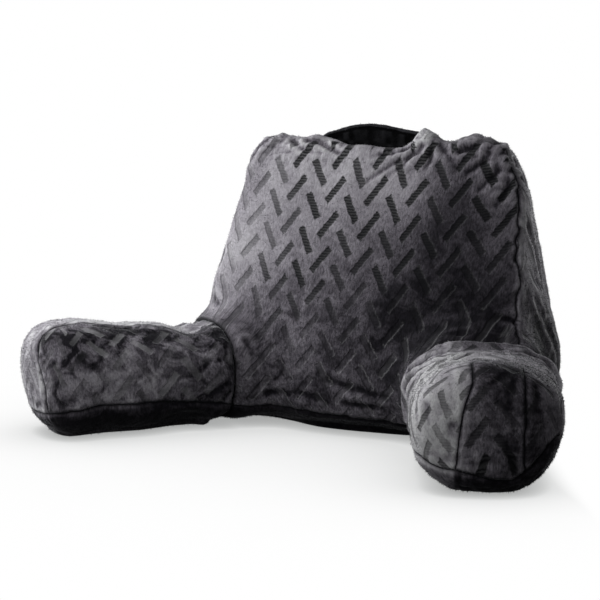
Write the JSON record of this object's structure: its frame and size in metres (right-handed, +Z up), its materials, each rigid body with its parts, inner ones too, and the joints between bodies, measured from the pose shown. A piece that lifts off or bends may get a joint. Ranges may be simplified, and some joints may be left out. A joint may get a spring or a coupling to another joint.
{
  "type": "reading pillow with arms",
  "caption": "Upright filled backrest cushion in plush with two splayed bolster arms at its base and a carrying strap along its top edge.",
  "frame": {"origin": "centre of the pillow's footprint box on the surface it stands on", "axes": "+X to the right seen from the front, +Y towards the back of the backrest, +Z up; the sitter faces -Y"},
  "size_m": [0.9314, 0.5592, 0.4814],
  "materials": {
    "plush_cover": "charcoal short-pile plush with a soft velvet sheen and a pressed relief of short dashes",
    "strap_plush": "near-black short-pile plush band"
  },
  "bodies": {
    "root": {"backrest": "plush_cover", "arm_left": "plush_cover", "arm_right": "plush_cover", "handle": "strap_plush"}
  },
  "joints": []
}
